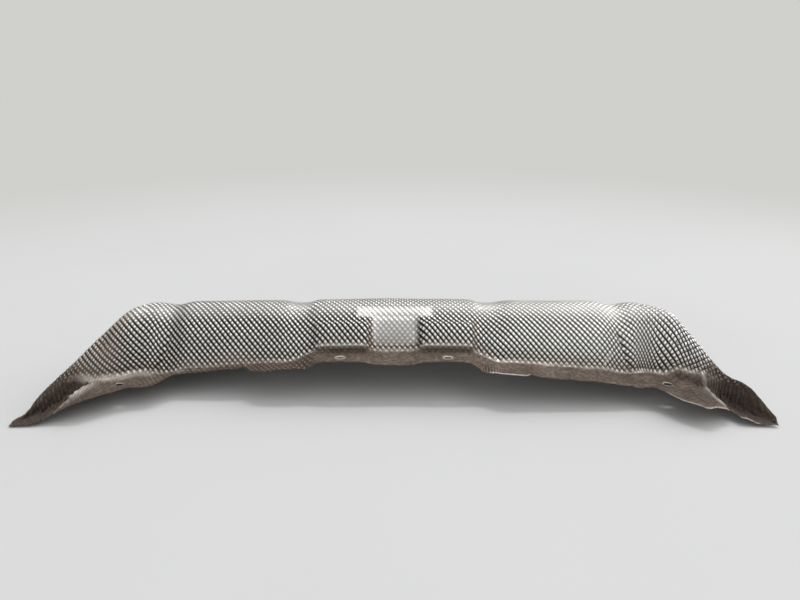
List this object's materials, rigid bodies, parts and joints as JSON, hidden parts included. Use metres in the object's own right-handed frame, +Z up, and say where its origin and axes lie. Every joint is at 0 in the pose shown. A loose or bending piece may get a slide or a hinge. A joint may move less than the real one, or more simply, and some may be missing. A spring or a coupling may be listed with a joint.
{
  "type": "heat shield",
  "caption": "Long arched trough pressed from diamond-embossed aluminium sheet, with slotted flange pads and ends that sweep forward, for keeping exhaust heat off the panel behind it.",
  "frame": {"origin": "middle of the footprint on the floor, under the arch", "axes": "+X along the length, +Y from the front flange to the rear wall, +Z up from the floor"},
  "size_m": [1.1511, 0.2388, 0.1332],
  "materials": {
    "aluminium_sheet": "embossed, dull and grimy at the ends and flange"
  },
  "bodies": {
    "root": {"heat_shield": "aluminium_sheet"}
  },
  "joints": []
}
